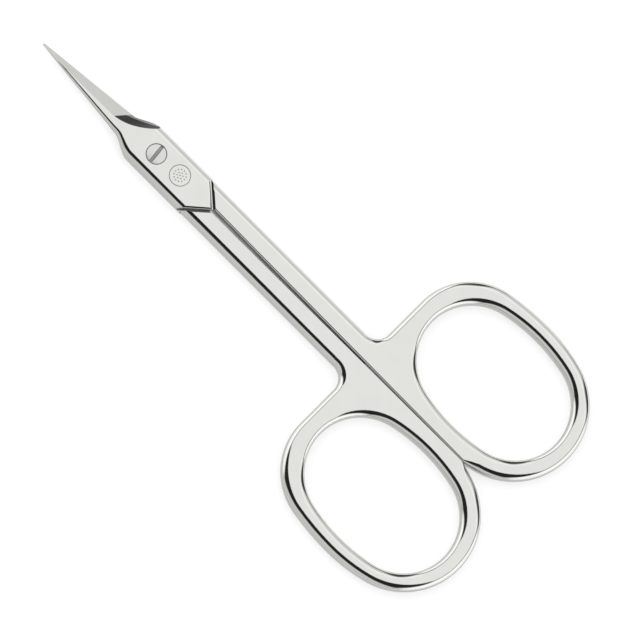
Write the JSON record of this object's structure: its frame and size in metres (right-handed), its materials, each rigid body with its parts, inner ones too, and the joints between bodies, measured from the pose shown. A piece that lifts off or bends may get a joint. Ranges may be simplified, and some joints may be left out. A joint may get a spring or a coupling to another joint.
{
  "type": "cuticle scissors",
  "caption": "Fine-pointed straight-bladed cuticle scissors with oval finger rings, lapped at a slotted pivot screw.",
  "frame": {"origin": "centre of the closed scissors' footprint, on the rear plate's face that they lie on", "axes": "+Y along the centre line from the rings to the tips, +Z out of the face with the screw's head, +X towards the front half's ring"},
  "size_m": [0.0436, 0.09, 0.0028],
  "materials": {
    "front_half": "satin ground stainless steel",
    "rear_half": "satin ground stainless steel",
    "pivot_screw": "turned stainless steel, ground flush"
  },
  "bodies": {
    "rear": {"rear_half": "rear_half", "pivot_screw": "pivot_screw"},
    "front": {"front_half": "front_half"}
  },
  "joints": [
    {"name": "pivot", "type": "hinge", "parent": "rear", "child": "front", "pos_m": [0, 0.0236, 0.0014], "axis": [0, 0, 1], "range_deg": [0, 145]}
  ]
}
